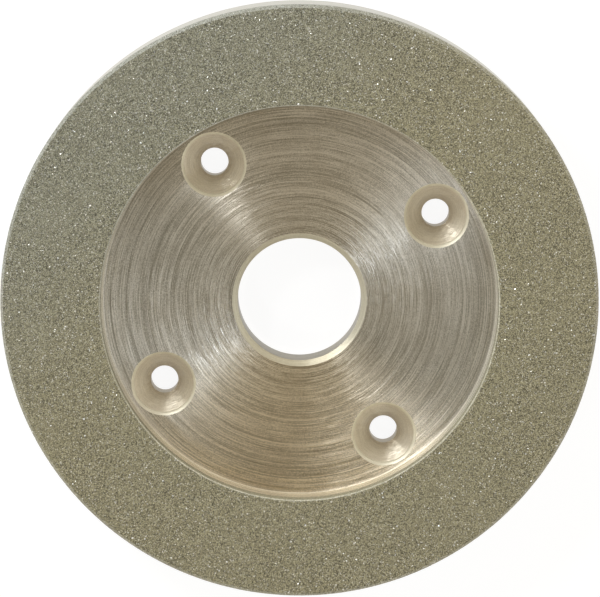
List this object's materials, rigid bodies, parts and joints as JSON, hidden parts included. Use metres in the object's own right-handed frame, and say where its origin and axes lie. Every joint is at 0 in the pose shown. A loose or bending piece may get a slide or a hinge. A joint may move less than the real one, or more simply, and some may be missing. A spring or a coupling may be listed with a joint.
{
  "type": "diamond face grinding wheel",
  "caption": "Screw-on diamond face wheel: a flat abrasive ring bonded to the raised rim of a turned metal core, with a recessed centre, a bore and countersunk screw holes.",
  "frame": {"origin": "centre of the bore at the mounting (back) face, where the wheel seats on its spindle plate", "axes": "+Z along the spin axis, out of the grinding face; +X through the centre of one screw hole"},
  "size_m": [0.1524, 0.1524, 0.0191],
  "materials": {
    "turned_metal": "satin",
    "adhesive": "satin",
    "diamond_bond": "matte"
  },
  "bodies": {
    "root": {"wheel_core": "turned_metal", "bond_film": "adhesive", "abrasive_ring": "diamond_bond"}
  },
  "joints": []
}
